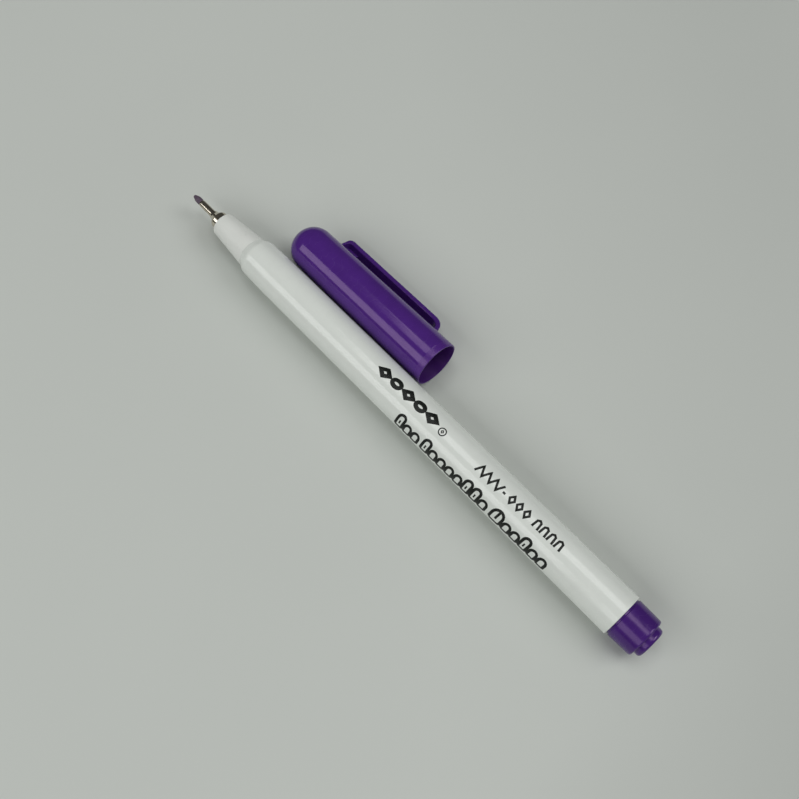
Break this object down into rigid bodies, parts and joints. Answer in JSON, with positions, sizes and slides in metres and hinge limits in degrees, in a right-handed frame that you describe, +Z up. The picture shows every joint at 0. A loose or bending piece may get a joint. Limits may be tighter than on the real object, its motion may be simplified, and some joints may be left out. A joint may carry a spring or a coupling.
{
  "type": "fabric marking pen",
  "caption": "Slim tubular fabric marker with a metal-clad fine nib and rear plug, its domed clip cap pulled off and lying beside it.",
  "frame": {"origin": "on the plane that the pen lies on, under the middle of the bounding box of the pen and its cap", "axes": "+X along the pen towards its nib, +Y from the cap across to the pen, +Z up from the plane"},
  "size_m": [0.1342, 0.0234, 0.0105],
  "materials": {
    "white_plastic": "white moulded polypropylene, softly glossy",
    "purple_plastic": "deep purple moulded polypropylene, glossy",
    "natural_plastic": "uncoloured polyethylene, matt",
    "film": "clear polypropylene film",
    "ink_fibre": "bonded polyester fibre soaked with violet ink",
    "nib_fibre": "acrylic-bonded fibre nib stained by the ink",
    "steel": "bright drawn stainless steel"
  },
  "bodies": {
    "pen": {"barrel": "white_plastic", "front_section": "white_plastic", "tip_cone": "steel", "nib_tube": "steel", "nib_holder": "natural_plastic", "nib": "nib_fibre", "reservoir_core": "ink_fibre", "reservoir_film": "film", "rear_plug": "purple_plastic"},
    "cap": {"cap_shell": "purple_plastic", "cap_seal": "natural_plastic"},
    "clip": {"clip_arm": "purple_plastic"}
  },
  "joints": [
    {"name": "cap_slide", "type": "slide", "parent": "pen", "child": "cap", "axis": [1, 0, 0], "range_m": [0, 0.04]},
    {"name": "clip_flex", "type": "hinge", "parent": "cap", "child": "clip", "pos_m": [0.03105, -0.0103, 0.00204], "axis": [0.0024, -0.4003, 0.9164], "range_deg": [0, 6], "stiffness_Nm_per_rad": 0.5}
  ]
}
